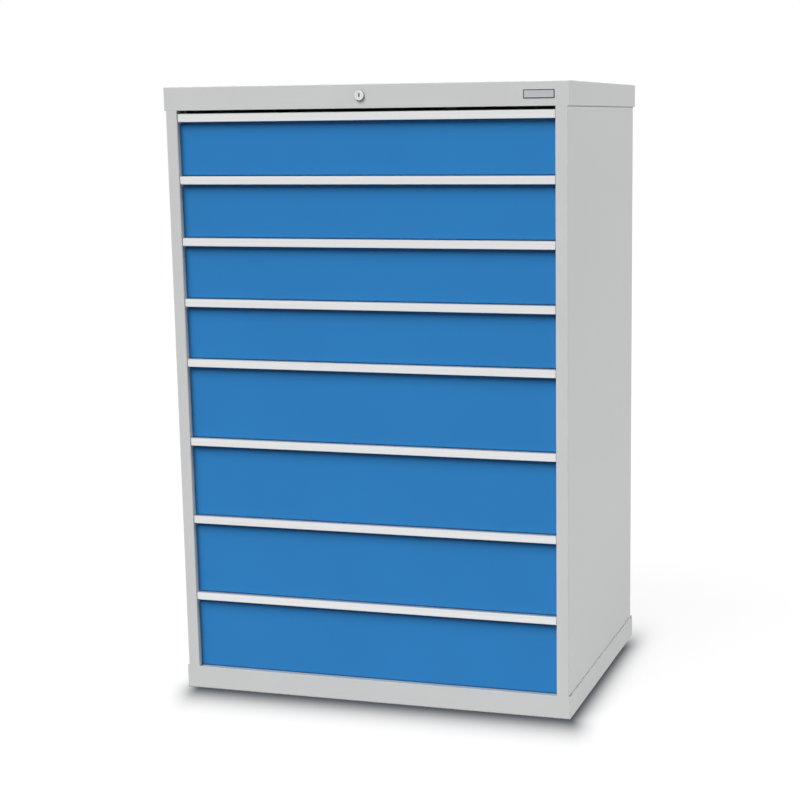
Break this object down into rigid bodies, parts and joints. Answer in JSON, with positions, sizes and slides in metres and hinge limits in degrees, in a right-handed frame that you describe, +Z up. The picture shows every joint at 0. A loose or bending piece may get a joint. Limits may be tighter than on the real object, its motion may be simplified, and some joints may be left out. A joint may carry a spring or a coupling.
{
  "type": "multi-drawer cabinet",
  "caption": "Floor-standing workshop cabinet of folded sheet steel with full-width drawers on telescopic slides, full-width grip strips and one central lock.",
  "frame": {"origin": "middle of the underside of the base, on the floor", "axes": "+Z up, the drawers open towards -Y, +X to the right as seen from the front"},
  "size_m": [1.015, 0.745, 1.519],
  "materials": {
    "case_paint": "satin light grey powder coat",
    "drawer_paint": "satin blue powder coat",
    "alloy": "natural anodised",
    "zinc": "bright zinc plate",
    "chrome": "polished nickel"
  },
  "bodies": {
    "case": {"cover": "case_paint", "base": "case_paint", "left_side": "case_paint", "right_side": "case_paint", "rear_panel": "case_paint", "rear_rivets": "zinc", "left_posts": "zinc", "right_posts": "zinc", "left_case_rails": "zinc", "right_case_rails": "zinc", "lock_housing": "chrome", "lock_nut": "zinc", "shaft_bracket": "zinc", "bar_guides": "zinc"},
    "drawer_1": {"drawer_1_front": "drawer_paint", "drawer_1_grip": "alloy", "drawer_1_tray": "case_paint", "drawer_1_runners": "zinc"},
    "slide_1": {"drawer_1_middle_rails": "zinc"},
    "drawer_2": {"drawer_2_front": "drawer_paint", "drawer_2_grip": "alloy", "drawer_2_tray": "case_paint", "drawer_2_runners": "zinc"},
    "slide_2": {"drawer_2_middle_rails": "zinc"},
    "drawer_3": {"drawer_3_front": "drawer_paint", "drawer_3_grip": "alloy", "drawer_3_tray": "case_paint", "drawer_3_runners": "zinc"},
    "slide_3": {"drawer_3_middle_rails": "zinc"},
    "drawer_4": {"drawer_4_front": "drawer_paint", "drawer_4_grip": "alloy", "drawer_4_tray": "case_paint", "drawer_4_runners": "zinc"},
    "slide_4": {"drawer_4_middle_rails": "zinc"},
    "drawer_5": {"drawer_5_front": "drawer_paint", "drawer_5_grip": "alloy", "drawer_5_tray": "case_paint", "drawer_5_runners": "zinc"},
    "slide_5": {"drawer_5_middle_rails": "zinc"},
    "drawer_6": {"drawer_6_front": "drawer_paint", "drawer_6_grip": "alloy", "drawer_6_tray": "case_paint", "drawer_6_runners": "zinc"},
    "slide_6": {"drawer_6_middle_rails": "zinc"},
    "drawer_7": {"drawer_7_front": "drawer_paint", "drawer_7_grip": "alloy", "drawer_7_tray": "case_paint", "drawer_7_runners": "zinc"},
    "slide_7": {"drawer_7_middle_rails": "zinc"},
    "drawer_8": {"drawer_8_front": "drawer_paint", "drawer_8_grip": "alloy", "drawer_8_tray": "case_paint", "drawer_8_runners": "zinc"},
    "slide_8": {"drawer_8_middle_rails": "zinc"},
    "lock_rotor": {"lock_plug": "chrome", "lock_shaft": "zinc", "lock_crank": "zinc"},
    "lock_slider": {"locking_bar": "zinc"}
  },
  "joints": [
    {"name": "drawer_1_pull", "type": "slide", "parent": "case", "child": "drawer_1", "axis": [0, -1, 0], "range_m": [0, 0.6]},
    {"name": "slide_1_run", "type": "slide", "parent": "case", "child": "slide_1", "axis": [0, -1, 0], "range_m": [0, 0.3]},
    {"name": "drawer_2_pull", "type": "slide", "parent": "case", "child": "drawer_2", "axis": [0, -1, 0], "range_m": [0, 0.6]},
    {"name": "slide_2_run", "type": "slide", "parent": "case", "child": "slide_2", "axis": [0, -1, 0], "range_m": [0, 0.3]},
    {"name": "drawer_3_pull", "type": "slide", "parent": "case", "child": "drawer_3", "axis": [0, -1, 0], "range_m": [0, 0.6]},
    {"name": "slide_3_run", "type": "slide", "parent": "case", "child": "slide_3", "axis": [0, -1, 0], "range_m": [0, 0.3]},
    {"name": "drawer_4_pull", "type": "slide", "parent": "case", "child": "drawer_4", "axis": [0, -1, 0], "range_m": [0, 0.6]},
    {"name": "slide_4_run", "type": "slide", "parent": "case", "child": "slide_4", "axis": [0, -1, 0], "range_m": [0, 0.3]},
    {"name": "drawer_5_pull", "type": "slide", "parent": "case", "child": "drawer_5", "axis": [0, -1, 0], "range_m": [0, 0.6]},
    {"name": "slide_5_run", "type": "slide", "parent": "case", "child": "slide_5", "axis": [0, -1, 0], "range_m": [0, 0.3]},
    {"name": "drawer_6_pull", "type": "slide", "parent": "case", "child": "drawer_6", "axis": [0, -1, 0], "range_m": [0, 0.6]},
    {"name": "slide_6_run", "type": "slide", "parent": "case", "child": "slide_6", "axis": [0, -1, 0], "range_m": [0, 0.3]},
    {"name": "drawer_7_pull", "type": "slide", "parent": "case", "child": "drawer_7", "axis": [0, -1, 0], "range_m": [0, 0.6]},
    {"name": "slide_7_run", "type": "slide", "parent": "case", "child": "slide_7", "axis": [0, -1, 0], "range_m": [0, 0.3]},
    {"name": "drawer_8_pull", "type": "slide", "parent": "case", "child": "drawer_8", "axis": [0, -1, 0], "range_m": [0, 0.6]},
    {"name": "slide_8_run", "type": "slide", "parent": "case", "child": "slide_8", "axis": [0, -1, 0], "range_m": [0, 0.3]},
    {"name": "lock_turn", "type": "hinge", "parent": "case", "child": "lock_rotor", "pos_m": [0, -0.37, 1.4925], "axis": [0, -1, 0], "range_deg": [0, 92]},
    {"name": "bar_lift", "type": "slide", "parent": "case", "child": "lock_slider", "axis": [0, 0, 1], "range_m": [0, 0.01414]}
  ],
  "couplings": [
    {"joint": "slide_1_run", "follows": "drawer_1_pull", "ratio": 0.5},
    {"joint": "slide_2_run", "follows": "drawer_2_pull", "ratio": 0.5},
    {"joint": "slide_3_run", "follows": "drawer_3_pull", "ratio": 0.5},
    {"joint": "slide_4_run", "follows": "drawer_4_pull", "ratio": 0.5},
    {"joint": "slide_5_run", "follows": "drawer_5_pull", "ratio": 0.5},
    {"joint": "slide_6_run", "follows": "drawer_6_pull", "ratio": 0.5},
    {"joint": "slide_7_run", "follows": "drawer_7_pull", "ratio": 0.5},
    {"joint": "slide_8_run", "follows": "drawer_8_pull", "ratio": 0.5},
    {"joint": "lock_turn", "follows": "bar_lift", "rad_per_m": 111.07}
  ]
}
